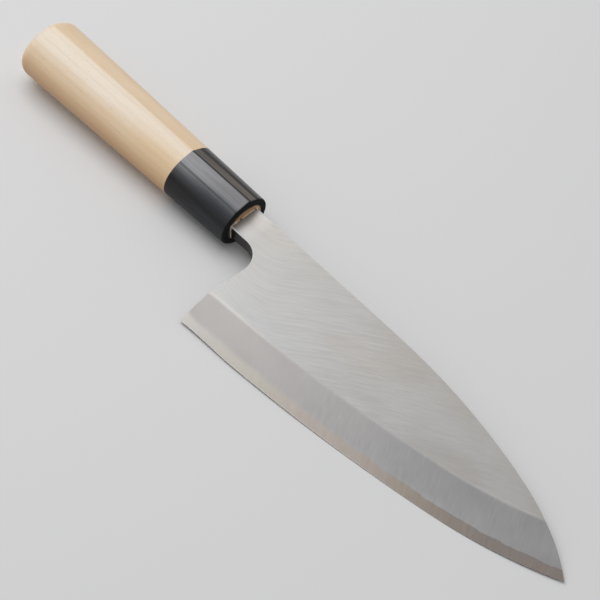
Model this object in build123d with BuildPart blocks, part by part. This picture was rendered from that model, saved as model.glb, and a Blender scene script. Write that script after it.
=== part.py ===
from build123d import *
import os
from math import acos, atan2, copysign, degrees, sqrt

# Deba knife with a single bevel, lying on a table with its bevelled face up.
# The pieces are drawn in the knife's own frame and laid on the table at the end:
#   X runs along the handle, from the front of the horn ferrule towards the tip,
#   Y runs across the blade, from the handle's middle line towards the spine,
#   Z runs out of the bevelled face. All sizes are millimetres.

# Blade: thickness, plan and its two faces
spine_thickness = 6.7      # at the neck, where the blade is thickest
tip_thickness = 0.95       # what is left of it at the very tip
spine_height = 6.4         # handle's middle line up to the spine at the ferrule
neck_drop = 6.9            # handle's middle line down to the underside of the neck
neck_length = 8.3          # free straight underside between ferrule and notch
notch_radius = 8.5         # finger notch between neck and heel
heel_lean = 1.8            # how far the heel corner lies behind the foot of the notch
heel_depth = 46.7          # handle's middle line down to the heel corner
blade_length = 166.7       # heel corner to tip, along the handle's direction
tip_depth = 19.8           # handle's middle line down to the tip
edge_start_rise_share = 0.0145
belly_radius = 732.0       # gentle curve of the rear part of the cutting edge
belly_share = 0.71         # share of the blade's length that it takes
spine_fall = 0.2           # the straight part of the spine comes down by this much
spine_straight_share = 0.377
spine_bow_radius = 280.0   # first curve of the spine, before the rounder nose
spine_bow_share = 0.427
edge_land = 0.15           # honed width of the cutting edge
rest_share = 0.69          # place along the blade where the edge touches the table
arris = 0.4                # polished chamfer round the upper face
hira_lean_share = 0.018    # the upper flat falls towards the ridge by this slope

# Bevel: its width in plan at the heel, and how it grows towards the tip
bevel_width = 14.2
bevel_station_shares = (-0.03, 0.22, 0.45, 0.64, 0.80, 0.92, 1.02)
bevel_width_shares = (0.99, 1.05, 1.10, 1.18, 1.31, 1.44, 1.55)

# Hard steel layer on the flat back, and the hollow ground into that back
steel_share = 0.29         # its share of the blade's thickness
steel_start = 34.0         # where it starts on the spine, from the ferrule
back_rim = 3.5             # flat rim left round the hollow
hollow_slope = 5.0         # width over which the hollow reaches its depth
hollow_depth = 0.3
rim_nose_share = 0.90      # where the hollow ends towards the tip, along the blade
floor_nose_share = 0.83    # and where its full depth ends
hollow_point_shares = (0, 0.35, 0.7, 1)

# Tang inside the handle
neck_inside = 5.0          # the neck runs on this far behind the front of the ferrule
tang_length = 92.0
tang_end_width = 6.5
tang_end_thickness = 3.2

# Handle: horn ferrule in front, wooden grip behind, one D-shaped section
slot_gap = 0.35            # bedding between tang and wood
tenon_width_share = 1.2    # tenon oval against the slot's reach, across the blade
tenon_depth_share = 2.03   # and along the blade's thickness
glue_gap = 0.05            # between tenon and horn
horn_wall_side = 2.9       # horn beside the tenon, across the blade
horn_wall_face = 2.55      # horn over the tenon, along the blade's thickness
ferrule_length = 32.3
grip_length = 86.2         # visible wood behind the ferrule
flare_side = 2.75          # the handle grows by this much from front to butt
flare_face = 1.42
ridge_side_share = 0.19    # place of the ridge of the D, towards the spine
ridge_face_share = 1.055   # and its height over the oval
ridge_softness = 1.3
ferrule_round = 1.1        # rounded front rim of the horn
butt_round = 5.0
tenon_recess = 0.2         # tenon's end behind the front of the horn
bedding_recess = 1.2       # bedding's end behind the front of the horn
slot_end_gap = 3.0         # room behind the end of the tang

overrun = 2.0              # how far every cutting shape passes the piece

# Derived places in the knife's own frame
back_z = -spine_thickness / 2
neck_z = spine_thickness / 2
neck_width = spine_height + neck_drop
neck_middle = (spine_height - neck_drop) / 2
heel_foot_x = neck_length + notch_radius
heel_x = heel_foot_x - heel_lean
tip_x = heel_x + blade_length
heel = Vector(heel_x, -heel_depth)
tip = Vector(tip_x, -tip_depth)
handle_length = ferrule_length + grip_length
slot_reach = max(neck_drop, spine_height) + slot_gap
tenon_half_width = slot_reach * tenon_width_share
tenon_half_depth = (neck_z + slot_gap) * tenon_depth_share
front_half_width = tenon_half_width + horn_wall_side
front_half_depth = tenon_half_depth + horn_wall_face


def bend(start, direction, end):
    """Centre and radius of the arc that leaves start along direction and ends at end."""
    chord = end - start
    normal = Vector(-direction.Y, direction.X).normalized()
    radius = chord.length**2 / (2 * chord.dot(normal))
    return start + normal * radius, radius


def arc_height(centre, radius, x):
    """Height at x of the arc about centre; a negative radius bends downwards."""
    return centre.Y - copysign(sqrt(radius**2 - (x - centre.X) ** 2), radius)


# Cutting edge: a long gentle belly, then a rounder arc up to the tip
edge_direction = Vector(1, edge_start_rise_share).normalized()
belly_centre = heel + Vector(-edge_direction.Y, edge_direction.X) * belly_radius
belly_end_x = heel_x + blade_length * belly_share
belly_end = Vector(belly_end_x, arc_height(belly_centre, belly_radius, belly_end_x))
belly_direction = Vector(belly_centre.Y - belly_end.Y, belly_end.X - belly_centre.X)
edge_nose_centre, edge_nose_radius = bend(belly_end, belly_direction, tip)

# Spine: straight behind, a slow bow, then a rounder nose down to the tip
spine_start = Vector(0, spine_height)
bow_start = Vector(heel_x + blade_length * spine_straight_share, spine_height - spine_fall)
spine_direction = (bow_start - spine_start).normalized()
bow_centre = bow_start - Vector(-spine_direction.Y, spine_direction.X) * spine_bow_radius
bow_end_x = bow_start.X + blade_length * spine_bow_share
bow_end = Vector(bow_end_x, arc_height(bow_centre, -spine_bow_radius, bow_end_x))
bow_direction = Vector(bow_end.Y - bow_centre.Y, bow_centre.X - bow_end.X)


spine_nose_centre, spine_nose_radius = bend(bow_end, bow_direction, tip)


def edge_y(x):
    """Height of the cutting edge at x."""
    if x < belly_end_x:
        return arc_height(belly_centre, belly_radius, x)
    return arc_height(edge_nose_centre, edge_nose_radius, x)


def spine_y(x):
    """Height of the spine at x."""
    if x < bow_start.X:
        return spine_height - spine_fall * x / bow_start.X
    if x < bow_end_x:
        return arc_height(bow_centre, -spine_bow_radius, x)
    return arc_height(spine_nose_centre, spine_nose_radius, x)


# Upper flat: one long arc from inside the handle thins the blade to the tip
taper_length = tip_x + neck_inside
hira_fall = spine_thickness - tip_thickness
hira_radius = (taper_length**2 + hira_fall**2) / (2 * hira_fall)


def hira_z(x, y):
    """Level of the upper flat at a point of the plan."""
    taper = sqrt(hira_radius**2 - (x + neck_inside) ** 2) - hira_radius
    return neck_z + taper - hira_lean_share * (spine_height - y)


def above_taper(plane, level, fall):
    """Sketch of the space over an arc that falls by fall from the handle to the tip."""
    with BuildSketch(plane) as space:
        with BuildLine():
            start = Line((-neck_inside - overrun, level), (-neck_inside, level))
            bow = TangentArc(start @ 1, (tip_x, level - fall), tangent=(1, 0))
            out = Line(bow @ 1, bow @ 1 + (bow % 1) * overrun)
            over_end = Line(out @ 1, ((out @ 1).X, level + overrun))
            Polyline(over_end @ 1, ((start @ 0).X, level + overrun), start @ 0)
        make_face()
    return space.sketch


# Steel billet of the whole blade, before it is divided into its two metals
with BuildPart() as billet:
    with BuildSketch(Plane.XY.offset(back_z)):
        with BuildLine():
            spine_flat = Line(spine_start, bow_start)
            spine_bow = TangentArc(bow_start, bow_end, tangent=spine_direction)
            spine_nose = TangentArc(bow_end, tip, tangent=bow_direction)
            edge_belly = TangentArc(heel, belly_end, tangent=edge_direction)
            edge_nose = TangentArc(belly_end, tip, tangent=belly_direction)
            heel_line = Line(heel, (heel_foot_x, -neck_drop - notch_radius))
            notch = TangentArc((neck_length, -neck_drop), heel_line @ 1, tangent=(1, 0))
            Polyline(
                notch @ 0, (-neck_inside, -neck_drop), (-neck_inside, spine_height), spine_start
            )
        make_face()
    extrude(amount=spine_thickness)

    # Upper flat: the blade thins from the handle to the tip
    extrude(
        above_taper(
            Plane(
                (0, spine_height + overrun, hira_lean_share * overrun),
                x_dir=(1, 0, 0),
                z_dir=(0, -1, -hira_lean_share),
            ),
            neck_z,
            hira_fall,
        ),
        amount=heel_depth + spine_height + overrun + overrun,
        mode=Mode.SUBTRACT,
    )

    # Bevel: a wedge over a straight line from the cutting edge to the ridge
    wedge_reach = bevel_width / 2
    for station_share, width_share in zip(bevel_station_shares, bevel_width_shares):
        x = heel_x + blade_length * station_share
        low_y = edge_y(x)
        low_z = back_z + edge_land
        ridge_y = low_y + bevel_width * width_share
        ridge_z = hira_z(x, ridge_y)
        slope = (ridge_z - low_z) / (ridge_y - low_y)
        with BuildSketch(Plane.YZ.offset(x)):
            with BuildLine():
                Polyline(
                    (low_y - overrun, low_z - slope * overrun),
                    (ridge_y + wedge_reach, ridge_z + slope * wedge_reach),
                    (low_y - overrun, ridge_z + overrun),
                    close=True,
                )
            make_face()
    loft(mode=Mode.SUBTRACT)

    # Polished arris along the spine, the neck, the notch and the heel
    high_faces = billet.faces().filter_by(lambda face: face.center().Z > 0)
    upper_face = high_faces.sort_by(SortBy.AREA)[-1]
    free_edges = upper_face.edges().filter_by(lambda edge: edge.center().X > -neck_inside / 2)
    outer_edges = free_edges.filter_by(
        lambda edge: edge.center().Y > -neck_drop or edge.center().X < heel_foot_x
    )
    chamfer(outer_edges, arris)

    # Tang: narrows from the neck to its end inside the grip
    with BuildSketch(Plane.YZ.offset(-neck_inside)):
        with Locations((neck_middle, 0)):
            Rectangle(neck_width, spine_thickness)
    with BuildSketch(Plane.YZ.offset(-tang_length)):
        Rectangle(tang_end_width, tang_end_thickness)
    loft(ruled=True)

# Space of the hard steel: a thin layer under the whole back, but not under the neck
steel_thickness = spine_thickness * steel_share
with BuildPart() as steel_space:
    with BuildSketch(Plane.XY.offset(back_z - overrun)):
        with BuildLine():
            Polyline(
                (heel_x - overrun, -heel_depth - overrun),
                (tip_x + overrun, -heel_depth - overrun),
                (tip_x + overrun, spine_height + overrun),
                (steel_start, spine_height + overrun),
                (heel_x - overrun, -neck_drop - notch_radius / 2),
                close=True,
            )
        make_face()
    extrude(amount=overrun + steel_thickness)
    extrude(
        above_taper(
            Plane.XZ.offset(-spine_height - overrun),
            back_z + steel_thickness,
            hira_fall * steel_share,
        ),
        amount=heel_depth + spine_height + overrun + overrun,
        mode=Mode.SUBTRACT,
    )


def hollow_outline(inset, nose_share, level):
    """Sketch of the hollow in the back at one level, inset from the blade's outline."""
    rear_x = heel_foot_x + inset
    neck_x = steel_start + inset
    nose_x = heel_x + blade_length * nose_share
    edge_xs = [rear_x + (nose_x - rear_x) * share for share in hollow_point_shares]
    spine_xs = [nose_x + (neck_x - nose_x) * share for share in hollow_point_shares]
    with BuildSketch(Plane.XY.offset(level)) as outline:
        with BuildLine():
            low = Spline([(x, edge_y(x) + inset) for x in edge_xs])
            high = Spline([(x, spine_y(x) - inset) for x in spine_xs])
            Line(low @ 1, high @ 0)
            Polyline(high @ 1, (rear_x, -neck_drop - notch_radius), low @ 0)
        make_face()
    return outline.sketch


# Soft iron body: the bevel's upper part, the upper flat, the spine, neck and tang
with BuildPart() as blade_cladding:
    add(billet.part)
    add(steel_space.part, mode=Mode.SUBTRACT)

# Hard edge steel, forge welded under the iron, with a shallow hollow in its flat back
with BuildPart() as edge_steel:
    add(billet.part)
    add(steel_space.part, mode=Mode.INTERSECT)
    rim = hollow_outline(back_rim, rim_nose_share, back_z)
    floor = hollow_outline(back_rim + hollow_slope, floor_nose_share, back_z + hollow_depth)
    loft([rim, floor], ruled=True, mode=Mode.SUBTRACT)


def d_section(x):
    """Sketch of the handle's outline at x: an oval with one soft ridge on top."""
    growth = -x / handle_length
    half_width = front_half_width + flare_side * growth
    half_depth = front_half_depth + flare_face * growth
    reach = sqrt(ridge_side_share**2 + ridge_face_share**2)
    turn = degrees(acos(1 / reach))
    middle = degrees(atan2(ridge_face_share, ridge_side_share))
    with BuildSketch(Plane.YZ.offset(x)) as section:
        with BuildLine():
            oval = EllipticalCenterArc(
                (0, 0), half_width, half_depth, start_angle=middle + turn, arc_size=360 - 2 * turn
            )
            ridge = (half_width * ridge_side_share, half_depth * ridge_face_share)
            Polyline(oval @ 1, ridge, oval @ 0)
        make_face()
        fillet(section.vertices().sort_by(Axis.Y)[-1], ridge_softness)
    return section.sketch


# Slot burned into the wood for the tang, open at the front
with BuildPart() as tang_slot:
    with BuildSketch(Plane.YZ.offset(-neck_inside)) as mouth:
        with Locations((neck_middle, 0)):
            Rectangle(neck_width + 2 * slot_gap, spine_thickness + 2 * slot_gap)
    with BuildSketch(Plane.YZ.offset(-tang_length - slot_end_gap)):
        Rectangle(tang_end_width + 2 * slot_gap, tang_end_thickness + 2 * slot_gap)
    loft(ruled=True)
    extrude(mouth.sketch, amount=neck_inside)

# Grip: one piece of wood, D-shaped behind, with an oval tenon through the horn
with BuildPart() as grip:
    loft([d_section(-ferrule_length), d_section(-handle_length)], ruled=True)
    fillet(grip.faces().sort_by(Axis.X)[0].edges(), butt_round)
    with BuildSketch(Plane.YZ.offset(-ferrule_length)):
        Ellipse(tenon_half_width, tenon_half_depth)
    extrude(amount=ferrule_length - tenon_recess)
    add(tang_slot.part, mode=Mode.SUBTRACT)

# Ferrule: a ring of horn glued round the tenon, flush with the grip
with BuildPart() as ferrule:
    loft([d_section(0), d_section(-ferrule_length)], ruled=True)
    fillet(ferrule.faces().sort_by(Axis.X)[-1].edges(), ferrule_round)
    with BuildSketch(Plane.YZ):
        Ellipse(tenon_half_width + glue_gap, tenon_half_depth + glue_gap)
    extrude(amount=-ferrule_length, mode=Mode.SUBTRACT)

# Bedding: the resin that fills the slot round the tang, a little below the mouth
with BuildPart() as tang_bedding:
    add(tang_slot.part)
    with BuildSketch(Plane.YZ.offset(-bedding_recess)):
        Rectangle(2 * tenon_half_width, 2 * tenon_half_depth)
    extrude(amount=bedding_recess, mode=Mode.SUBTRACT)
    add(billet.part, mode=Mode.SUBTRACT)

# Table under the lying knife: it touches the cutting edge and the horn's underside
rest_x = heel_x + blade_length * rest_share
rest_point = Vector(rest_x, edge_y(rest_x))
rest_centre = belly_centre if rest_x < belly_end_x else edge_nose_centre
edge_line = Vector(rest_centre.Y - rest_point.Y, rest_point.X - rest_centre.X).normalized()
across = Vector(-edge_line.Y, edge_line.X)
contact_share = ferrule_round / handle_length
contact_width = front_half_width + flare_side * contact_share
contact_depth = front_half_depth + flare_face * contact_share
contact_distance = across.dot(Vector(-ferrule_round, 0) - rest_point)
square = contact_distance**2 - (contact_width * across.Y) ** 2
half_linear = -back_z * contact_distance
lean = (sqrt(half_linear**2 - square * (back_z**2 - contact_depth**2)) - half_linear) / square
up = Vector(across.X * lean, across.Y * lean, 1).normalized()
along = (Vector(1, 0, 0) - up * up.X).normalized()
table = Plane(Vector(rest_point.X, rest_point.Y, back_z), x_dir=along, z_dir=up)

# Origin: on the table, under the middle of the knife's length and width
pieces = [blade_cladding, edge_steel, grip, ferrule, tang_bedding]
knife = Compound(children=[table.to_local_coords(piece.part) for piece in pieces])
centre = knife.bounding_box().center()
origin = table.from_local_coords(Vector(centre.X, centre.Y, 0))
table = Plane(origin, x_dir=along, z_dir=up)
for piece in pieces:
    piece.part = table.to_local_coords(piece.part)

os.makedirs("parts", exist_ok=True)

blade_cladding.part.label = "blade_cladding"
export_step(blade_cladding.part, "parts/blade_cladding.step")

edge_steel.part.label = "edge_steel"
export_step(edge_steel.part, "parts/edge_steel.step")

grip.part.label = "grip"
export_step(grip.part, "parts/grip.step")

ferrule.part.label = "ferrule"
export_step(ferrule.part, "parts/ferrule.step")

tang_bedding.part.label = "tang_bedding"
export_step(tang_bedding.part, "parts/tang_bedding.step")
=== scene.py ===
import math
from random import Random

import bmesh
import bpy
from mathutils import Matrix, Vector


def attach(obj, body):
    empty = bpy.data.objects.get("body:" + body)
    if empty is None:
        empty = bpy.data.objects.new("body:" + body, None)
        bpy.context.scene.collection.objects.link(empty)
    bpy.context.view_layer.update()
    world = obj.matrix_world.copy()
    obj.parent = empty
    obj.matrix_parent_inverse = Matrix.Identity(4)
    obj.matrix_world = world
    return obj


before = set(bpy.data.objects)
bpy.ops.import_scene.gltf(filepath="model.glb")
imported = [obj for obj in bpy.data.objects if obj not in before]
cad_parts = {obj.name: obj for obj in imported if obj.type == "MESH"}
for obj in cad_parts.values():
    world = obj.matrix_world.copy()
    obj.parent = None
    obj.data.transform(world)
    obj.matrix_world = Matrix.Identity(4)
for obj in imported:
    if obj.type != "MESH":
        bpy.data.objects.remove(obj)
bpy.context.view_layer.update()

# Hard edge steel: the thin high-carbon layer under the whole blade. Its back is ground
# hollow inside a flat rim, and it shows on the bevel as a warm band above the cutting
# edge. It is forge welded to the iron, so both metals share the finish of the bevel.

# The knife's own axes start at the middle of the horn's front. They run along it to the tip,
# up to the spine, and out of the bevelled face. It lies tip down, and leans on its edge.
MM = 0.001
KNIFE_ORIGIN = Vector((-0.03147, 0.01581, 0.01007))
TIP_DOWN = math.radians(1.1494)
EDGE_DOWN = math.radians(6.6148)
KNIFE_AXES = Matrix.Rotation(TIP_DOWN, 3, "Y") @ Matrix.Rotation(EDGE_DOWN, 3, "X")
ALONG, TO_SPINE, OUT_OF_FACE = KNIFE_AXES.transposed()


def set_sockets(tree, node, sockets):
    """Gives the sockets of one node their plain values, or wires them to other nodes."""
    for key, value in sockets.items():
        if isinstance(value, bpy.types.NodeSocket):
            tree.links.new(value, node.inputs[key])
        else:
            node.inputs[key].default_value = value


def add_node(tree, kind, sockets=None, **settings):
    """Outputs of a new shader node of one kind, with its settings and its sockets."""
    node = tree.nodes.new("ShaderNode" + kind)
    for name, value in settings.items():
        setattr(node, name, value)
    set_sockets(tree, node, sockets or {})
    return node.outputs


def start_group(name, wanted, given):
    """Shader node group with named inputs and outputs, and its two end nodes."""
    group = bpy.data.node_groups.new(name, "ShaderNodeTree")
    for label, kind, value in wanted:
        socket = group.interface.new_socket(label, in_out="INPUT", socket_type="NodeSocket" + kind)
        if value is not None:
            socket.default_value = value
    for label, kind in given:
        group.interface.new_socket(label, in_out="OUTPUT", socket_type="NodeSocket" + kind)
    starts = group.nodes.new("NodeGroupInput").outputs
    return group, starts, group.nodes.new("NodeGroupOutput")


def use_group(tree, group, sockets=None):
    """Outputs of one group, placed in a material or in another group."""
    return add_node(tree, "Group", sockets, node_tree=group)


# Where a point of the knife is, in millimetres along its own axes, and where it faces
knife_place, _, ends = start_group(
    "knife_place", [], [("Place", "Vector"), ("Facing", "Vector")]
)
tree = knife_place
here = add_node(tree, "TexCoord")["Object"]
normal = add_node(tree, "NewGeometry")["Normal"]
turn = {"Rotation": KNIFE_AXES.to_euler()}
placed = add_node(
    tree,
    "Mapping",
    {**turn, "Vector": here, "Location": KNIFE_ORIGIN, "Scale": (MM, MM, MM)},
    vector_type="TEXTURE",
)
turned = add_node(tree, "Mapping", {**turn, "Vector": normal}, vector_type="TEXTURE")
set_sockets(tree, ends, {"Place": placed[0], "Facing": turned[0]})


def split(tree, vector):
    """The three numbers of a place or a direction: along, to the spine, out of the face."""
    return tuple(add_node(tree, "SeparateXYZ", {0: vector}))


def reckon(tree, operation, *values):
    """Result of one sum on numbers."""
    return add_node(tree, "Math", dict(enumerate(values)), operation=operation)[0]


def between(tree, share, first, second):
    """Number between first and second."""
    return add_node(tree, "Mix", {0: share, 2: first, 3: second})[0]


# Cutting edge in those axes, in millimetres: a long gentle belly from the heel, then a
# rounder nose that goes on from it to the tip
HEEL = Vector((15.0, -46.7))
TIP = Vector((181.7, -19.8))
BLADE_LENGTH = TIP.x - HEEL.x
START_RISE_SHARE = 0.0145
BELLY_RADIUS = 732.0
BELLY_SHARE = 0.71
belly_centre = HEEL + Vector((-START_RISE_SHARE, 1.0)).normalized() * BELLY_RADIUS
nose_start_x = HEEL.x + BLADE_LENGTH * BELLY_SHARE
belly_rise = math.sqrt(BELLY_RADIUS**2 - (nose_start_x - belly_centre.x) ** 2)
nose_start = Vector((nose_start_x, belly_centre.y - belly_rise))
inward = (belly_centre - nose_start).normalized()
nose_chord = TIP - nose_start
nose_radius = nose_chord.length_squared / (2 * nose_chord.dot(inward))
nose_centre = nose_start + inward * nose_radius

# Ridge: its height over the cutting edge at shares of the blade's length
RIDGE_LINE = (
    (0.0, 14.62), (0.03, 14.97), (0.075, 15.12), (0.14, 15.04), (0.23, 14.91), (0.34, 15.11),
    (0.45, 15.62), (0.56, 16.22), (0.67, 17.02), (0.776, 18.31), (0.88, 19.77), (1.0, 21.7),
)
RIDGE_UNIT = 30.0          # the height that a full step of the curve stands for

# Where a point of the blade lies between the cutting edge and the ridge
blade_map, starts, ends = start_group(
    "blade_map",
    [("Place", "Vector", None)],
    [("Above edge", "Float"), ("Above ridge", "Float"), ("Length share", "Float")],
)
tree = blade_map
along, upward, _ = split(tree, starts["Place"])
arc_heights = []
for centre, radius in ((belly_centre, BELLY_RADIUS), (nose_centre, nose_radius)):
    offset = reckon(tree, "SUBTRACT", along, centre.x)
    square = reckon(tree, "MULTIPLY", offset, offset)
    rise = reckon(tree, "SQRT", reckon(tree, "SUBTRACT", radius**2, square))
    arc_heights.append(reckon(tree, "SUBTRACT", centre.y, rise))
on_nose = reckon(tree, "GREATER_THAN", along, nose_start.x)
above_edge = reckon(tree, "SUBTRACT", upward, between(tree, on_nose, *arc_heights))
length_share = reckon(tree, "DIVIDE", reckon(tree, "SUBTRACT", along, HEEL.x), BLADE_LENGTH)
ridge_curve = blade_map.nodes.new("ShaderNodeFloatCurve")
set_sockets(tree, ridge_curve, {"Value": length_share})
ridge_points = ridge_curve.mapping.curves[0].points
for station, height in RIDGE_LINE[1:-1]:
    ridge_points.new(station, height / RIDGE_UNIT)
for end in (0, -1):
    station, height = RIDGE_LINE[end]
    ridge_points[end].location = (station, height / RIDGE_UNIT)
ridge_curve.mapping.update()
ridge_height = reckon(tree, "MULTIPLY", ridge_curve.outputs[0], RIDGE_UNIT)
above_ridge = reckon(tree, "SUBTRACT", above_edge, ridge_height)
set_sockets(
    tree,
    ends,
    {"Above edge": above_edge, "Above ridge": above_ridge, "Length share": length_share},
)

# Fine lines that a stone or a belt leaves: turned in the blade's plane, slightly bowed, and
# swept up where the belt ran off at the heel
SWEEP_REACH = 18.0
hairlines, starts, ends = start_group(
    "hairlines",
    [
        ("Place", "Vector", None),
        ("Turn", "Float", 0.0),
        ("Bow", "Float", 0.0),
        ("Sweep", "Float", 0.0),
        ("Length", "Float", 10.0),
        ("Width", "Float", 0.5),
    ],
    [("Lines", "Float")],
)
tree = hairlines
turned = add_node(
    tree,
    "VectorRotate",
    {"Vector": starts["Place"], "Angle": starts["Turn"]},
    rotation_type="Z_AXIS",
    invert=True,
)
along, upward, outward = split(tree, turned[0])
bowed = reckon(tree, "MULTIPLY", along, along)
bowed = reckon(tree, "MULTIPLY_ADD", bowed, starts["Bow"], upward)
near_heel = reckon(tree, "MAXIMUM", reckon(tree, "SUBTRACT", SWEEP_REACH, along), 0.0)
near_heel = reckon(tree, "MULTIPLY", near_heel, near_heel)
swept = reckon(tree, "SUBTRACT", bowed, reckon(tree, "MULTIPLY", near_heel, starts["Sweep"]))
drawn = add_node(
    tree,
    "CombineXYZ",
    {
        "X": reckon(tree, "DIVIDE", along, starts["Length"]),
        "Y": reckon(tree, "DIVIDE", swept, starts["Width"]),
        "Z": reckon(tree, "DIVIDE", outward, starts["Length"]),
    },
)
lines = add_node(
    tree, "TexNoise", {"Vector": drawn[0], "Scale": 1.0, "Detail": 3.0, "Roughness": 0.6}
)
set_sockets(tree, ends, {"Lines": lines["Fac"]})


def scratch(tree, place, degrees, length, width, bow=0.0, sweep=0.0):
    """Hairlines of one length and width, turned by some degrees."""
    sockets = {"Place": place, "Turn": math.radians(degrees), "Bow": bow, "Sweep": sweep}
    return use_group(tree, hairlines, {**sockets, "Length": length, "Width": width})["Lines"]


# Cloudy spots, drawn out by their stretch along each axis
mottling, starts, ends = start_group(
    "mottling",
    [
        ("Place", "Vector", None),
        ("Stretch", "Vector", (1.0, 1.0, 1.0)),
        ("Scale", "Float", 1.0),
        ("Detail", "Float", 2.0),
        ("Roughness", "Float", 0.5),
    ],
    [("Spots", "Float")],
)
tree = mottling
drawn = add_node(
    tree, "VectorMath", {0: starts["Place"], 1: starts["Stretch"]}, operation="DIVIDE"
)
clouds = add_node(
    tree,
    "TexNoise",
    {
        "Vector": drawn[0],
        "Scale": starts["Scale"],
        "Detail": starts["Detail"],
        "Roughness": starts["Roughness"],
    },
)
set_sockets(tree, ends, {"Spots": clouds["Fac"]})


def mottle(tree, place, stretch, size, detail=2.0, roughness=0.5):
    """Cloudy spots of about one size, from 0 to 1."""
    sockets = {"Place": place, "Stretch": stretch, "Scale": 1 / size}
    return use_group(tree, mottling, {**sockets, "Detail": detail, "Roughness": roughness})["Spots"]


def paint(red, green, blue):
    """Colour as a shader wants it, from the three numbers that a paint chart gives."""
    parts = [part / 255 for part in (red, green, blue)]
    return [p / 12.92 if p < 0.04 else ((p + 0.055) / 1.055) ** 2.4 for p in parts] + [1.0]


def fade(tree, value, start, end, low=0.0, high=1.0):
    """Soft change from low to high while value goes from start to end."""
    sockets = {"Value": value, "From Min": start, "From Max": end, "To Min": low, "To Max": high}
    return add_node(tree, "MapRange", sockets, interpolation_type="SMOOTHSTEP")["Result"]


def zone(tree, value, start, full, last, end, high=1.0):
    """Share that rises from start to full, stays, and falls again from last to end."""
    rise = fade(tree, value, start, full)
    return reckon(tree, "MULTIPLY", rise, fade(tree, value, last, end, high, 0.0))


def tint(tree, share, first, second):
    """Colour between first and second."""
    return add_node(tree, "Mix", {0: share, 6: first, 7: second}, data_type="RGBA")[2]


def lay_on(tree, colour, *layers):
    """Colour with others laid over it in turn, each as far as its own share says."""
    for share, tone in layers:
        colour = tint(tree, share, colour, tone)
    return colour


def colour_row(tree, value, stops):
    """Colour that runs through the given stops while value goes from 0 to 1."""
    ramp_node = tree.nodes.new("ShaderNodeValToRGB")
    set_sockets(tree, ramp_node, {"Fac": value})
    marks = ramp_node.color_ramp.elements
    for stop, colour in stops:
        marks.new(stop).color = colour
    marks.remove(marks[0])
    marks.remove(marks[-1])
    return ramp_node.outputs["Color"]


# The flat by the ridge: light at the heel, dullest past the middle. Part of this fall is
# painted shade, for the light that falls off from the heel towards the tip
FLAT_TONES_AND_PAINTED_SHADE = (
    (0.001, paint(170, 169, 167)),
    (0.11, paint(160, 160, 159)),
    (0.26, paint(157, 155, 154)),
    (0.46, paint(146, 144, 141)),
    (0.63, paint(145, 142, 139)),
    (0.84, paint(155, 152, 149)),
)
NEAR_SPINE = paint(165, 159, 152)
FLAT_CLOUD = paint(161, 162, 163)
GROOVE = paint(146, 145, 144)
GLINT = paint(196, 195, 193)
# Bright paint for the rubbed neck, which is also painted light
RUBBED_NECK_AND_PAINTED_LIGHT = paint(212, 209, 206)
# Bright paint for the rubbed ridge, which is also a painted highlight
RUBBED_RIDGE_AND_PAINTED_HIGHLIGHT = paint(230, 229, 227)

# The misty iron of the bevel: pale at the heel, and a little paler again at the tip. The
# fall from the heel is partly painted shade, and the paler tip is painted light on the
# curved nose, which turns away from the light
HEEL_MIST_AND_PAINTED_LIGHT = paint(185, 181, 179)
FAR_MIST_AND_PAINTED_SHADE = paint(131, 131, 132)
TIP_PAINTED_LIGHT = paint(146, 145, 145)
WARM_MIST = paint(154, 149, 149)

# The band of hard steel is creamy at the heel and browner towards the tip. Part of its
# darkening is painted shade, for the light that falls off towards the tip
BAND_TONES_AND_PAINTED_SHADE = (
    (0.001, paint(201, 197, 193)),
    (0.08, paint(186, 182, 177)),
    (0.20, paint(174, 171, 163)),
    (0.35, paint(158, 150, 145)),
    (0.50, paint(144, 136, 131)),
    (0.65, paint(124, 117, 109)),
    (0.75, paint(115, 108, 102)),
    (0.84, paint(111, 105, 101)),
    (0.95, paint(116, 108, 104)),
)
BAND_HEIGHT = 3.9
BAND_WAVE = 1.1            # how far its border wanders, up and down
BAND_LIFT = 0.5            # how much higher the border runs at the tip

# The broken arris and the honed edge show as bright lines from every side. The arris is a
# painted highlight, on a face made half metallic, and the edge's light line is partly a
# painted highlight that fades towards the tip
ARRIS_PAINTED_HIGHLIGHT = paint(240, 240, 238)
HONED_EDGE_AND_PAINTED_HIGHLIGHT = paint(222, 219, 212)
ARRIS_METALLIC = 0.4

# Roughness where the lines of the belt or the stone are deep, and where they are shallow
FLAT_ROUGHNESS = (0.42, 0.47)
BEVEL_ROUGHNESS = (0.42, 0.5)
BAND_ROUGHNESS = (0.38, 0.46)
RUBBED_ROUGHNESS = 0.4
ARRIS_ROUGHNESS = 0.5

# The belt ran aslant over the flat, and the stone was drawn across the bevel
BELT_DEGREES = 39
BELT_BOW = 0.0009
BELT_SWEEP = 0.03
STONE_DEGREES = -62

# Finish of the blade's upper face: satin flat with slanting hairlines, a soft bright ridge
# that is partly a painted highlight, the misty iron of the bevel, the warm band of hard
# steel with its wavy border
face_finish, starts, ends = start_group(
    "face_finish",
    [("Place", "Vector", None), ("Facing", "Vector", None)],
    [("Colour", "Color"), ("Roughness", "Float"), ("Height", "Float"), ("Metallic", "Float")],
)
tree = face_finish
place = starts["Place"]
along, upward, _ = split(tree, place)
_, _, faces_out = split(tree, starts["Facing"])
lie = use_group(tree, blade_map, {"Place": place})
above_edge = lie["Above edge"]
above_ridge = lie["Above ridge"]
length_share = lie["Length share"]
clouds = mottle(tree, place, (1.6, 1.0, 1.0), 22.0)
flecks = mottle(tree, place, (1.0, 1.0, 1.0), 2.4, detail=3.0)
coarse_lines = scratch(tree, place, BELT_DEGREES, 15.0, 0.5, BELT_BOW, BELT_SWEEP)
fine_lines = scratch(tree, place, BELT_DEGREES, 6.0, 0.2, BELT_BOW, BELT_SWEEP)
stone_lines = scratch(tree, place, STONE_DEGREES, 6.0, 0.3)

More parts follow.
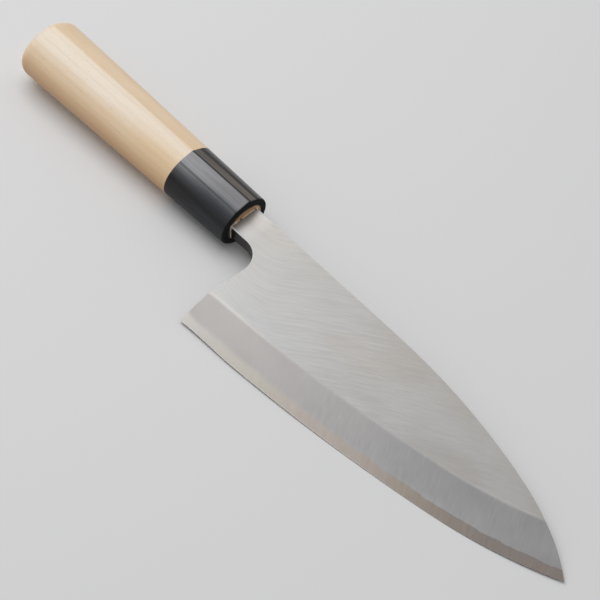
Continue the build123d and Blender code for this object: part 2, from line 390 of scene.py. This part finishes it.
# The neck is rubbed bright in front of the handle, nearest to it on the spine's side. This
# lighter paint is also painted light, which lifts the shade and the dark reflection at the
# neck's root by the ferrule
neck_zone_start = fade(tree, upward, 1.0, 5.5, 1.5, -0.6)
neck_zone_full = fade(tree, upward, 1.0, 5.5, 4.5, 1.4)
neck_rub_and_painted_light = zone(tree, along, neck_zone_start, neck_zone_full, 5.5, 11.0, 0.2)

# The ridge is rubbed bright at the heel and again towards the tip, mostly on its bevel side.
# Its bright line is also a painted highlight, on the flat's side too
ridge_line_reach = fade(tree, length_share, 0.0, 0.3, -1.6, -1.2)
ridge_line_crest = fade(tree, length_share, 0.0, 0.3, -0.6, 0.25)
heel_ridge_share = fade(tree, length_share, 0.0, 0.32, 0.4, 0.09)
tip_ridge_share = fade(tree, length_share, 0.56, 0.68, 0.0, 0.14)
ridge_wear_and_highlight = reckon(
    tree,
    "MULTIPLY",
    fade(tree, above_ridge, ridge_line_reach, ridge_line_crest),
    reckon(tree, "MAXIMUM", heel_ridge_share, tip_ridge_share),
)
flat_at_heel = fade(tree, length_share, 0.15, 0.3, 1.0, 0.0)
flat_at_tip = fade(tree, length_share, 0.5, 0.65)
flat_wear_and_highlight = reckon(
    tree,
    "MULTIPLY",
    fade(tree, above_ridge, 0.1, 0.9, 0.03, 0.0),
    reckon(tree, "MAXIMUM", flat_at_heel, flat_at_tip),
)

# Flat
flat_colour = lay_on(
    tree,
    colour_row(tree, length_share, FLAT_TONES_AND_PAINTED_SHADE),
    (fade(tree, above_ridge, 2.0, 20.0, 0.0, 0.45), NEAR_SPINE),
    (fade(tree, clouds, 0.35, 0.65, 0.0, 0.5), FLAT_CLOUD),
    (fade(tree, coarse_lines, 0.35, 0.65, 0.0, 0.24), GROOVE),
    (fade(tree, fine_lines, 0.45, 0.7, 0.0, 0.12), GLINT),
    (neck_rub_and_painted_light, RUBBED_NECK_AND_PAINTED_LIGHT),
    (flat_wear_and_highlight, RUBBED_RIDGE_AND_PAINTED_HIGHLIGHT),
)

# Bevel, with the band of hard steel under its wavy border
band_wave = mottle(tree, place, (1.0, 40.0, 40.0), 9.0, detail=3.0)
band_top = reckon(tree, "MULTIPLY_ADD", band_wave, BAND_WAVE * 2, BAND_HEIGHT - BAND_WAVE)
band_top = reckon(tree, "ADD", band_top, fade(tree, length_share, 0.65, 0.8, 0.0, BAND_LIFT))
band_softness = fade(tree, length_share, 0.1, 0.7, 2.2, 0.45)
over_band = reckon(tree, "DIVIDE", reckon(tree, "SUBTRACT", above_edge, band_top), band_softness)
in_band = fade(tree, over_band, -0.5, 0.5, 1.0, 0.0)
# Painted light on the curved nose, high above the edge near the tip
tip_painted_light_share = reckon(
    tree,
    "MULTIPLY",
    fade(tree, length_share, 0.82, 0.93),
    fade(tree, above_edge, 4.0, 10.0, 0.0, 0.45),
)
bevel_colour = lay_on(
    tree,
    tint(tree, fade(tree, length_share, -0.15, 0.75), HEEL_MIST_AND_PAINTED_LIGHT, FAR_MIST_AND_PAINTED_SHADE),
    (tip_painted_light_share, TIP_PAINTED_LIGHT),
    (fade(tree, clouds, 0.4, 0.7, 0.0, 0.3), WARM_MIST),
    (in_band, colour_row(tree, length_share, BAND_TONES_AND_PAINTED_SHADE)),
    (ridge_wear_and_highlight, RUBBED_RIDGE_AND_PAINTED_HIGHLIGHT),
)

# The whole face, with its arris and its edge
on_flat = fade(tree, above_ridge, -0.08, 0.08)
# Painted highlight: the arris is painted near white on a half metallic face
on_arris = zone(tree, faces_out, 0.3, 0.5, 0.82, 0.88)
# Painted highlight along the honed edge, fading towards the tip
at_edge = reckon(
    tree,
    "MULTIPLY",
    fade(tree, above_edge, 0.15, 0.45, 0.12, 0.0),
    fade(tree, length_share, 0.3, 0.8, 1.0, 0.15),
)
face_colour = lay_on(
    tree, bevel_colour, (on_flat, flat_colour), (on_arris, ARRIS_PAINTED_HIGHLIGHT), (at_edge, HONED_EDGE_AND_PAINTED_HIGHLIGHT)
)
bevel_roughness = fade(tree, stone_lines, 0.25, 0.75, *BEVEL_ROUGHNESS)
band_roughness = fade(tree, stone_lines, 0.25, 0.75, *BAND_ROUGHNESS)
flat_roughness = fade(tree, coarse_lines, 0.25, 0.75, *FLAT_ROUGHNESS)
face_roughness = between(tree, in_band, bevel_roughness, band_roughness)
face_roughness = between(tree, on_flat, face_roughness, flat_roughness)
face_roughness = between(tree, ridge_wear_and_highlight, face_roughness, RUBBED_ROUGHNESS)
face_roughness = between(tree, on_arris, face_roughness, ARRIS_ROUGHNESS)
ground = reckon(tree, "MULTIPLY_ADD", fine_lines, 0.5, coarse_lines)
honed = reckon(tree, "MULTIPLY_ADD", flecks, 0.3, stone_lines)
set_sockets(
    tree,
    ends,
    {
        "Colour": face_colour,
        "Roughness": face_roughness,
        "Height": between(tree, on_flat, honed, ground),
        "Metallic": fade(tree, on_arris, 0.0, 1.0, 1.0, ARRIS_METALLIC),
    },
)


def start_material(name, sockets):
    """Material with one Principled shader, set with the plain values given."""
    material = bpy.data.materials.new(name)
    material.use_nodes = True
    tree = material.node_tree
    shader = tree.nodes["Principled BSDF"]
    set_sockets(tree, shader, sockets)
    return material, tree, shader


def finish_material(tree, shader, colour, roughness, height, depth):
    """Wires colour, roughness and a bump of one depth, in metres, to the shader."""
    bump = add_node(tree, "Bump", {"Height": height, "Distance": depth, "Strength": 1.0})
    set_sockets(
        tree, shader, {"Base Color": colour, "Roughness": roughness, "Normal": bump[0]}
    )


def dress(node_name, material):
    """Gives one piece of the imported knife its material."""
    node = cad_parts[node_name]
    node.data.materials.clear()
    node.data.materials.append(material)


# The back: a hollow ground across the blade, inside a rim honed flat and brighter
BACK_Z = -3.35
HOLLOW_TONES = (paint(158, 158, 160), paint(182, 182, 183))
HOLLOW_ROUGHNESS = (0.34, 0.46)
RIM_TONES = (paint(186, 184, 180), paint(206, 204, 200))
RIM_ROUGHNESS = (0.2, 0.28)
LINE_DEPTH = 0.012 * MM

steel, tree, shader = start_material("edge_steel_finish", {"Metallic": 1.0})
spot = use_group(tree, knife_place)
place = spot["Place"]
_, _, outward = split(tree, place)
_, _, faces_out = split(tree, spot["Facing"])
face = use_group(tree, face_finish, {"Place": place, "Facing": spot["Facing"]})
hollow_lines = scratch(tree, place, 84, 16.0, 0.35, bow=0.003)
rim_lines = scratch(tree, place, -12, 9.0, 0.25)
in_hollow = fade(tree, outward, BACK_Z + 0.01, BACK_Z + 0.04)
back_colour = tint(
    tree,
    in_hollow,
    tint(tree, rim_lines, *RIM_TONES),
    tint(tree, hollow_lines, *HOLLOW_TONES),
)
back_roughness = between(
    tree,
    in_hollow,
    fade(tree, rim_lines, 0.3, 0.7, *RIM_ROUGHNESS),
    fade(tree, hollow_lines, 0.3, 0.7, *HOLLOW_ROUGHNESS),
)
on_back = fade(tree, faces_out, -0.4, -0.8)
finish_material(
    tree,
    shader,
    tint(tree, on_back, face["Colour"], back_colour),
    between(tree, on_back, face["Roughness"], back_roughness),
    between(tree, on_back, face["Height"], hollow_lines),
    LINE_DEPTH,
)
set_sockets(tree, shader, {"Metallic": face["Metallic"]})
dress("edge_steel", steel)

# Soft iron body: forged and ground iron over the hard steel. It carries the flat, the
# ridge, most of the bevel, the spine, the neck and the tang burned into the handle. The
# spine is ground bright. The side faces that look towards the edge, such as the neck's
# lower side, are painted dark as painted shade.
SIDE_TONES = (paint(150, 149, 148), paint(188, 187, 185))
SIDE_ROUGHNESS = (0.28, 0.42)
SIDE_CLOUD = paint(128, 124, 120)
PAINTED_EDGE_SIDE_SHADE = paint(38, 36, 35)
FORGE_SCALE = paint(62, 54, 50)
SCALE_START = -1.5         # behind this the tang keeps its dark forge scale
SCALE_WANDER = 1.2
SCALE_ROUGHNESS = 0.7

iron, tree, shader = start_material("soft_iron_finish", {"Metallic": 1.0})
spot = use_group(tree, knife_place)
place = spot["Place"]
along, _, _ = split(tree, place)
_, faces_spine, faces_out = split(tree, spot["Facing"])
face = use_group(tree, face_finish, {"Place": place, "Facing": spot["Facing"]})
side_lines = mottle(tree, place, (30.0, 1.0, 1.0), 0.3)
side_clouds = mottle(tree, place, (3.0, 1.0, 1.0), 5.0)
side_colour = lay_on(
    tree,
    tint(tree, fade(tree, side_lines, 0.3, 0.7), *SIDE_TONES),
    (fade(tree, side_clouds, 0.45, 0.7, 0.0, 0.4), SIDE_CLOUD),
    # Painted shade on the side faces that look towards the edge
    (fade(tree, faces_spine, -0.25, -0.6, 0.0, 0.9), PAINTED_EDGE_SIDE_SHADE),
)
side_roughness = fade(tree, side_lines, 0.3, 0.7, *SIDE_ROUGHNESS)
on_side = fade(tree, faces_out, 0.4, 0.2)
scale_noise = mottle(tree, place, (1.0, 1.0, 1.0), 1.5, detail=4.0)
scale_edge = reckon(
    tree, "MULTIPLY_ADD", scale_noise, SCALE_WANDER * 2, SCALE_START - SCALE_WANDER
)
under_scale = fade(tree, reckon(tree, "SUBTRACT", along, scale_edge), -0.6, 0.6, 1.0, 0.0)
roughness = between(tree, on_side, face["Roughness"], side_roughness)
finish_material(
    tree,
    shader,
    lay_on(tree, face["Colour"], (on_side, side_colour), (under_scale, FORGE_SCALE)),
    between(tree, under_scale, roughness, SCALE_ROUGHNESS),
    between(tree, on_side, face["Height"], side_lines),
    LINE_DEPTH,
)
set_sockets(tree, shader, {"Metallic": face["Metallic"]})
dress("blade_cladding", iron)

# Grip: one piece of pale magnolia wood, shaved to a D with a soft ridge and sanded. Its
# oval tenon goes through the horn, and shows in front as browned end grain, with a dark
# joint round it and a small dark spot at the slot.
PITH = (0.0, -46.0, -60.0)
RING_STRETCH = (0.012, 1.0, 1.0)
RING_WIDTH = 2.6
RING_SCALE = 2 * math.pi / (20 * RING_WIDTH)     # the pattern makes 20 / (2 pi) rings a unit
FRONT_HALF_WIDTH = 11.6
FLARE = 0.0232             # the handle widens by this much of its length, each side
BUTT_HALF_WIDTH = 13.0     # the zones of tone are told by their places on a section this wide
GRAIN_WANDER = 2.6
PALE_WOOD = (paint(234, 205, 168), paint(238, 213, 181))
# The pale sapwood tone along the top is partly a painted sheen
SAPWOOD_AND_PAINTED_SHEEN = paint(239, 227, 210)
# The heartwood tone of the lower side is partly painted shade
HEARTWOOD_AND_PAINTED_SHADE = paint(216, 174, 126)
WARM_WOOD = paint(226, 190, 136)
PAINTED_LOW_SIDE_SHADE = paint(188, 141, 90)
LATE_WOOD = paint(200, 168, 128)
STREAK = paint(206, 176, 140)
FIBRE = paint(194, 160, 120)
PORE = paint(150, 116, 82)
WOOD_ROUGHNESS = (0.5, 0.62)
WOOD_DEPTH = 0.03 * MM

TENON_START = -3.0
TENON_HALF_WIDTH = 8.7
TENON_HALF_DEPTH = 7.51
END_GRAIN = (paint(182, 126, 70), paint(204, 156, 98))
PALE_END_GRAIN = paint(222, 184, 136)
DARK_JOINT = paint(30, 24, 20)
DARK_PIT = paint(62, 40, 26)
PIT_PLACE = (-0.2, -1.9, 3.8)

wood, tree, shader = start_material(
    "magnolia_wood",
    {
        "Metallic": 0.0,
        "IOR": 1.5,
        "Specular IOR Level": 1.0,
        "Coat Weight": 0.35,
        "Coat Roughness": 0.42,
    },
)
spot = use_group(tree, knife_place)
place = spot["Place"]
along, upward, outward = split(tree, place)
_, faces_spine, _ = split(tree, spot["Facing"])
from_pith = add_node(tree, "VectorMath", {0: place, 1: PITH}, operation="SUBTRACT")
drawn = add_node(tree, "VectorMath", {0: from_pith[0], 1: RING_STRETCH}, operation="MULTIPLY")
rings = add_node(
    tree,
    "TexWave",
    {
        "Vector": drawn[0],
        "Scale": RING_SCALE,
        "Distortion": 1.6,
        "Detail": 2.0,
        "Detail Scale": 0.6,
        "Detail Roughness": 0.5,
    },
    wave_type="RINGS",
    rings_direction="X",
    wave_profile="SAW",
)["Fac"]
fibres = mottle(tree, place, (45.0, 1.0, 1.0), 0.33, detail=3.0, roughness=0.6)
streaks = mottle(tree, place, (40.0, 1.0, 1.0), 1.6)
patches = mottle(tree, place, (4.0, 1.0, 1.0), 9.0)
pores = mottle(tree, place, (9.0, 1.0, 1.0), 0.2, detail=1.0)
wander = mottle(tree, place, (14.0, 1.0, 1.0), 3.0)

# Place across the handle, on the scale of its butt, with the grain's slow wander
half_width = reckon(tree, "MULTIPLY_ADD", along, -FLARE, FRONT_HALF_WIDTH)
across = reckon(tree, "MULTIPLY", reckon(tree, "DIVIDE", upward, half_width), BUTT_HALF_WIDTH)
across = reckon(tree, "MULTIPLY_ADD", wander, GRAIN_WANDER, across)
warmth = reckon(
    tree,
    "MULTIPLY",
    fade(tree, along, -76.0, -36.0, 0.0, 0.5),
    fade(tree, across, 4.0, -5.0),
)
# Painted shade: the lower part of the side that looks towards the edge is painted darker
low_side = reckon(
    tree,
    "MULTIPLY",
    zone(tree, outward, -10.0, -5.0, -2.0, 6.0, 0.85),
    fade(tree, faces_spine, -0.4, -0.8),
)
long_grain = lay_on(
    tree,
    tint(tree, fade(tree, patches, 0.3, 0.7), *PALE_WOOD),
    # pale sapwood along the top, partly a painted sheen
    (zone(tree, across, -8.0, -2.2, 1.8, 5.2, 0.8), SAPWOOD_AND_PAINTED_SHEEN),
    # heartwood on the lower side, partly painted shade
    (fade(tree, across, -8.0, -12.5, 0.0, 0.85), HEARTWOOD_AND_PAINTED_SHADE),
    (warmth, WARM_WOOD),
    (low_side, PAINTED_LOW_SIDE_SHADE),
    (fade(tree, rings, 0.55, 1.0, 0.0, 0.14), LATE_WOOD),
    (fade(tree, streaks, 0.5, 0.75, 0.0, 0.14), STREAK),
    (fade(tree, fibres, 0.5, 0.8, 0.0, 0.22), FIBRE),
    (fade(tree, pores, 0.68, 0.78, 0.0, 0.5), PORE),
)

# Tenon: how far out a point lies in its oval, and the joint, which shows more at the spine
out_across = reckon(tree, "DIVIDE", upward, TENON_HALF_WIDTH)
out_across = reckon(tree, "MULTIPLY", out_across, out_across)
out_up = reckon(tree, "DIVIDE", outward, TENON_HALF_DEPTH)
out_share = reckon(tree, "SQRT", reckon(tree, "MULTIPLY_ADD", out_up, out_up, out_across))
joint_start = fade(tree, upward, 2.0, 6.5, 0.81, 0.93)
joint_full = fade(tree, upward, 2.0, 6.5, 0.91, 1.0)
browned = lay_on(
    tree,
    tint(tree, mottle(tree, place, (6.0, 1.0, 1.0), 0.9, detail=3.0), *END_GRAIN),
    (fade(tree, upward, -3.5, -6.5), PALE_END_GRAIN),
    (fade(tree, out_share, joint_start, joint_full), DARK_JOINT),
)
from_pit = add_node(tree, "VectorMath", {0: place, 1: PIT_PLACE}, operation="DISTANCE")["Value"]
finish_material(
    tree,
    shader,
    lay_on(
        tree,
        long_grain,
        (fade(tree, along, TENON_START, TENON_START + 1), browned),
        (fade(tree, from_pit, 0.3, 0.75, 0.9, 0.0), DARK_PIT),
    ),
    fade(tree, fibres, 0.3, 0.7, *WOOD_ROUGHNESS),
    reckon(tree, "MULTIPLY_ADD", pores, -0.6, fibres),
    WOOD_DEPTH,
)
dress("grip", wood)

# Ferrule: a ring sawn from buffalo horn, bored for the tenon and glued on it, then shaped
# with the grip and polished. Its streaks run the way the horn grew, along the handle. The
# sawn front end is left dull.
BLACK_HORN = (paint(14, 14, 15), paint(23, 22, 22))
# The tones across the horn's section below are partly painted reflection, highlight and shade
HORN_PAINTED_FADING_LIGHT = (paint(106, 108, 110), paint(74, 75, 80))        # at the wood, and in front
GREY_HORN_AND_PAINTED_REFLECTION = (paint(142, 143, 147), paint(88, 89, 94))
HORN_RIDGE_PAINTED_HIGHLIGHT = paint(160, 159, 163)
VEIN = (paint(74, 77, 80), paint(10, 11, 14))
VEIN_PLACE = -4.35
HORN_PAINTED_SHADE_PAST_RIDGE = paint(30, 29, 29)
BROWN_HORN_AND_PAINTED_SHEEN = (paint(86, 80, 74), paint(110, 104, 97))
BLUE_STREAK = paint(64, 72, 84)
DARK_STREAK = paint(34, 33, 34)
SAWN_END = paint(9, 8, 8)
STREAK_WANDER = 0.6
POLISH_ROUGHNESS = (0.17, 0.27)
LOW_SIDE_ROUGHNESS = 0.55
SAWN_ROUGHNESS = 0.95
HORN_DEPTH = 0.006 * MM

horn, tree, shader = start_material(
    "buffalo_horn", {"Metallic": 0.0, "IOR": 1.54, "Specular IOR Level": 0.38}
)
spot = use_group(tree, knife_place)
place = spot["Place"]
along, upward, _ = split(tree, place)
faces_along, faces_spine, _ = split(tree, spot["Facing"])
wide_streaks = mottle(tree, place, (30.0, 1.0, 1.0), 2.6)
fine_streaks = mottle(tree, place, (40.0, 1.0, 1.0), 0.45, detail=3.0)
blue_streaks = mottle(tree, place, (26.0, 1.0, 1.3), 1.7)
wander = reckon(tree, "MULTIPLY_ADD", wide_streaks, STREAK_WANDER * 2, -STREAK_WANDER)
across = reckon(tree, "ADD", upward, wander)
# Painted light on the lower facet, fading into shade towards the low side, brighter at the wood
horn_fading_light = tint(tree, fade(tree, along, -32.0, -9.0), *HORN_PAINTED_FADING_LIGHT)
# Grey streaks of the upper facet, brightened by a painted reflection of the light
clear = tint(tree, fade(tree, along, -32.0, -2.0), *GREY_HORN_AND_PAINTED_REFLECTION)
# Painted highlight by the ridge
clear = tint(tree, fade(tree, across, -3.8, -2.0, 0.0, 0.35), clear, HORN_RIDGE_PAINTED_HIGHLIGHT)
vein = tint(tree, fade(tree, along, -31.0, -9.0), *VEIN)
off_vein = reckon(tree, "ABSOLUTE", reckon(tree, "SUBTRACT", across, VEIN_PLACE))
# Brown horn streaks, partly a painted sheen
brown = tint(tree, fade(tree, fine_streaks, 0.4, 0.6), *BROWN_HORN_AND_PAINTED_SHEEN)
on_end = fade(tree, faces_along, 0.3, 0.65)
on_low_side = fade(tree, faces_spine, -0.5, -0.95)
polish = scratch(tree, place, 90, 4.0, 0.4)
roughness = fade(tree, polish, 0.3, 0.7, *POLISH_ROUGHNESS)
roughness = between(tree, on_low_side, roughness, LOW_SIDE_ROUGHNESS)
finish_material(
    tree,
    shader,
    lay_on(
        tree,
        tint(tree, fade(tree, wide_streaks, 0.4, 0.75), *BLACK_HORN),
        (fade(tree, across, -10.2, -4.9), horn_fading_light),
        (fade(tree, across, -4.3, -3.7), clear),
        (fade(tree, off_vein, 0.2, 0.8, 0.95, 0.0), vein),
        # Painted shade past the ridge, on the side turned from the light
        (fade(tree, across, 2.2, 2.7), HORN_PAINTED_SHADE_PAST_RIDGE),
        (zone(tree, across, 2.9, 3.5, 5.5, 6.5), brown),
        (fade(tree, blue_streaks, 0.5, 0.75, 0.0, 0.25), BLUE_STREAK),
        (fade(tree, fine_streaks, 0.4, 0.7, 0.0, 0.22), DARK_STREAK),
        (on_end, SAWN_END),
    ),
    between(tree, on_end, roughness, SAWN_ROUGHNESS),
    fine_streaks,
    HORN_DEPTH,
)
dress("ferrule", horn)

# Bedding: resin run into the burned slot round the tang, set a little below its mouth. It
# is smeared and pitted, with dark soot in the pits.
RESIN_TONES = (paint(150, 138, 122), paint(214, 204, 188))
RESIN_PIT = paint(44, 30, 22)
RESIN_ROUGHNESS = (0.3, 0.5)
RESIN_DEPTH = 0.15 * MM

resin, tree, shader = start_material("bedding_resin", {"Metallic": 0.0, "IOR": 1.5})
place = use_group(tree, knife_place)["Place"]
smears = mottle(tree, place, (1.0, 2.5, 1.0), 0.9, detail=3.0)
pits = mottle(tree, place, (1.0, 1.0, 1.0), 1.4)
finish_material(
    tree,
    shader,
    lay_on(tree, tint(tree, smears, *RESIN_TONES), (fade(tree, pits, 0.56, 0.66), RESIN_PIT)),
    fade(tree, smears, 0.3, 0.7, *RESIN_ROUGHNESS),
    smears,
    RESIN_DEPTH,
)
dress("tang_bedding", resin)

# Glue line: pale glue pressed out of the slot when the blade was set and wiped nearly flush
# round the neck. It is uneven, and on the upper side one small pit is left in it.
NECK_SPINE = 6.4
NECK_UNDERSIDE = -6.9
NECK_FACE = 3.35
ARRIS = 0.4
NECK_CORNERS = (
    (NECK_SPINE, BACK_Z),
    (NECK_SPINE, NECK_FACE - ARRIS),
    (NECK_SPINE - ARRIS, NECK_FACE),
    (NECK_UNDERSIDE + ARRIS, NECK_FACE),
    (NECK_UNDERSIDE, NECK_FACE - ARRIS),
    (NECK_UNDERSIDE, BACK_Z),
)
SLOT_GAP = 0.33
TENON_FACE = -0.2
BEDDING_FACE = -1.25
BEAD_STEP = 0.35
BEAD_BITE = 0.05           # how far the glue reaches into the steel, so no gap shows
BEAD_LIP = 0.1
BEAD_WIDTHS = (0.36, 0.34)   # the narrowest, and how much wider it gets
BEAD_CROWNS = (-0.14, 0.3)   # the lowest, and how much higher it gets
PIT_REACH = 0.8
PIT_DEPTH = 0.7


def glue_stations():
    """Points round the neck, a short step apart, each with its way out from the steel."""
    stations = []
    for start, end in zip(NECK_CORNERS, NECK_CORNERS[1:] + NECK_CORNERS[:1]):
        side = Vector(end) - Vector(start)
        out = Vector((-side.y, side.x)).normalized() * -1
        count = max(1, round(side.length / BEAD_STEP))
        for step in range(count):
            stations.append((Vector(start) + side * (step / count), out))
    turned = [stations[i - 1][1] + stations[i][1] for i in range(len(stations))]
    return [(point, out.normalized()) for (point, _), out in zip(stations, turned)]


def uneven(count, seed, rounds):
    """Numbers from 0 to 1 in a closed row that rises and falls softly."""
    chance = Random(seed)
    row = [chance.random() for _ in range(count)]
    for _ in range(rounds):
        row = [(row[i - 1] + 2 * row[i] + row[(i + 1) % count]) / 4 for i in range(count)]
    low, high = min(row), max(row)
    return [(value - low) / (high - low) for value in row]


def glue_profile(point, width, proud):
    """Outline of the bead at one station: distance out from the steel, and place along it."""
    sunk = max(0.0, 1 - abs(point.x - PIT_PLACE[1]) / PIT_REACH) if point.y > 0 else 0.0
    crown = proud - PIT_DEPTH * sunk
    width = width + (SLOT_GAP - width) * sunk
    rim = min(TENON_FACE, crown)
    return (
        (-BEAD_BITE, crown),
        (width * 0.3, crown),
        (width * 0.65, crown + (rim - crown) * 0.3),
        (width * 0.9, crown + (rim - crown) * 0.75),
        (width, rim),
        (SLOT_GAP, rim - BEAD_LIP),
        (SLOT_GAP, BEDDING_FACE),
        (-BEAD_BITE, BEDDING_FACE),
    )


def put_in_scene(name, data):
    """Object of one mesh, lamp or camera, in the scene."""
    thing = bpy.data.objects.new(name, data)
    bpy.context.scene.collection.objects.link(thing)
    return thing


glue_shape = bmesh.new()
stations = glue_stations()
widths = uneven(len(stations), seed=3, rounds=6)
heights = uneven(len(stations), seed=8, rounds=4)
glue_rings = []
for (point, out), wide, high in zip(stations, widths, heights):
    width = BEAD_WIDTHS[0] + BEAD_WIDTHS[1] * wide
    proud = BEAD_CROWNS[0] + BEAD_CROWNS[1] * high
    ring = []
    for away, forward in glue_profile(point, width, proud):
        flat = point + out * away
        corner = KNIFE_ORIGIN + MM * (forward * ALONG + flat.x * TO_SPINE + flat.y * OUT_OF_FACE)
        ring.append(glue_shape.verts.new(corner))
    glue_rings.append(ring)
for ring, next_ring in zip(glue_rings, glue_rings[1:] + glue_rings[:1]):
    for i, corner in enumerate(ring):
        face = glue_shape.faces.new((corner, ring[i - 1], next_ring[i - 1], next_ring[i]))
        face.smooth = True
bmesh.ops.recalc_face_normals(glue_shape, faces=glue_shape.faces)
glue_mesh = bpy.data.meshes.new("glue_line")
glue_shape.to_mesh(glue_mesh)
glue_shape.free()
glue_line = put_in_scene("glue_line", glue_mesh)

GLUE_TONES = (paint(186, 171, 146), paint(230, 220, 202))
GLUE_STAIN = paint(120, 88, 58)
# Painted shade: from a third to half a millimetre into the slot, the glue turns near black
PAINTED_SLOT_SHADE = paint(40, 28, 20)
GLUE_ROUGHNESS = (0.35, 0.5)
GLUE_DEPTH = 0.1 * MM

glue, tree, shader = start_material("dried_glue", {"Metallic": 0.0, "IOR": 1.5})
place = use_group(tree, knife_place)["Place"]
along, _, _ = split(tree, place)
smears = mottle(tree, place, (1.0, 3.0, 1.0), 1.1, detail=3.0)
stains = mottle(tree, place, (1.0, 1.5, 1.0), 0.8)
finish_material(
    tree,
    shader,
    lay_on(
        tree,
        tint(tree, fade(tree, smears, 0.35, 0.65), *GLUE_TONES),
        (fade(tree, stains, 0.55, 0.7, 0.0, 0.7), GLUE_STAIN),
        # painted shade inside the narrow slot
        (fade(tree, along, -0.3, -0.5), PAINTED_SLOT_SHADE),
    ),
    fade(tree, smears, 0.3, 0.7, *GLUE_ROUGHNESS),
    smears,
    GLUE_DEPTH,
)
glue_mesh.materials.append(glue)
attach(glue_line, "root")

# Studio: a pale matt floor under the knife, one wide soft light high over the handle's end,
# an even pale surround, and the camera at the photograph's viewing angle.
FLOOR_SIZE = 6.0
FLOOR_DROP = 0.0001        # keeps the floor just under the blade's edge
FLOOR_COLOUR = paint(226, 226, 227)
LIGHT_PLACE = (-0.52, 0.02, 1.0)
LIGHT_SIZE = (1.0, 1.45)
LIGHT_POWER = 8.5
SURROUND_COLOUR = (1.0, 1.0, 1.0, 1.0)
SURROUND_STRENGTH = 0.42
CAMERA_PLACE = Vector((0.27391, -0.34706, 0.54445))
CAMERA_AIM = Vector((0.003983, 0.012419, 0.0))
CAMERA_ROLL = math.radians(11.1977)
LENS = 112.73
SENSOR_WIDTH = 36.0

shape = bmesh.new()
bmesh.ops.create_grid(shape, x_segments=8, y_segments=8, size=FLOOR_SIZE / 2)
floor_mesh = bpy.data.meshes.new("floor")
shape.to_mesh(floor_mesh)
shape.free()
floor = put_in_scene("floor", floor_mesh)
floor.location.z = -FLOOR_DROP
floor_finish, _, _ = start_material(
    "floor_finish", {"Base Color": FLOOR_COLOUR, "Roughness": 0.9, "Specular IOR Level": 0.1}
)
floor_mesh.materials.append(floor_finish)

light = bpy.data.lights.new("key_light", "AREA")
light.shape = "RECTANGLE"
light.size, light.size_y = LIGHT_SIZE
light.energy = LIGHT_POWER
light_holder = put_in_scene("key_light", light)
light_holder.location = LIGHT_PLACE
light_holder.rotation_euler = Vector(LIGHT_PLACE).to_track_quat("Z", "Y").to_euler()

surround = bpy.data.worlds.new("surround")
bpy.context.scene.world = surround
surround.use_nodes = True
set_sockets(
    surround.node_tree,
    surround.node_tree.nodes["Background"],
    {"Color": SURROUND_COLOUR, "Strength": SURROUND_STRENGTH},
)

camera = bpy.data.cameras.new("camera")
camera.lens = LENS
camera.sensor_width = SENSOR_WIDTH
camera_holder = put_in_scene("camera", camera)
aimed = (CAMERA_PLACE - CAMERA_AIM).to_track_quat("Z", "Y").to_matrix()
camera_holder.location = CAMERA_PLACE
camera_holder.rotation_euler = (aimed @ Matrix.Rotation(CAMERA_ROLL, 3, "Z")).to_euler()
bpy.context.scene.camera = camera_holder
bpy.context.scene.view_settings.view_transform = "Standard"
